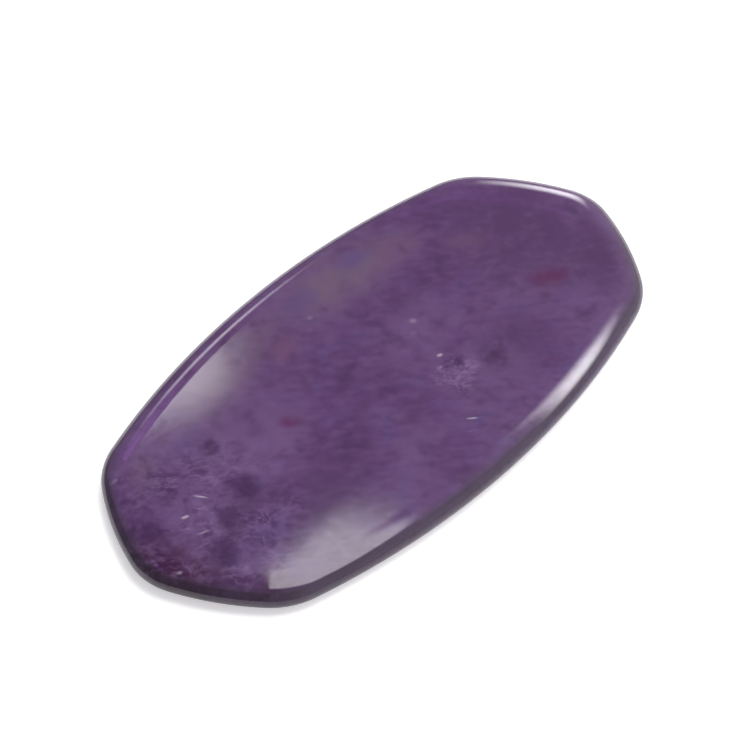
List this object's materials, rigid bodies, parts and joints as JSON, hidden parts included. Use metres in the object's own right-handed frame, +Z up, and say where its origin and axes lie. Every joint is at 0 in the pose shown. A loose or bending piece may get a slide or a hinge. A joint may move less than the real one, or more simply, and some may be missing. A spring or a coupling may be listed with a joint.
{
  "type": "gua sha scraper",
  "caption": "Hand-held massage scraper: a flat plate of polished amethyst with a long six-sided outline, blunt tips at both ends and fully rounded edges.",
  "frame": {"origin": "under the middle of the plate, on the plane that its flat underside rests on", "axes": "+X along the length, tip to tip; +Y across the width; +Z up through the thickness, out of the crowned upper face"},
  "size_m": [0.105, 0.0534, 0.0054],
  "materials": {
    "amethyst": "polished"
  },
  "bodies": {
    "root": {"stone_plate": "amethyst"}
  },
  "joints": []
}
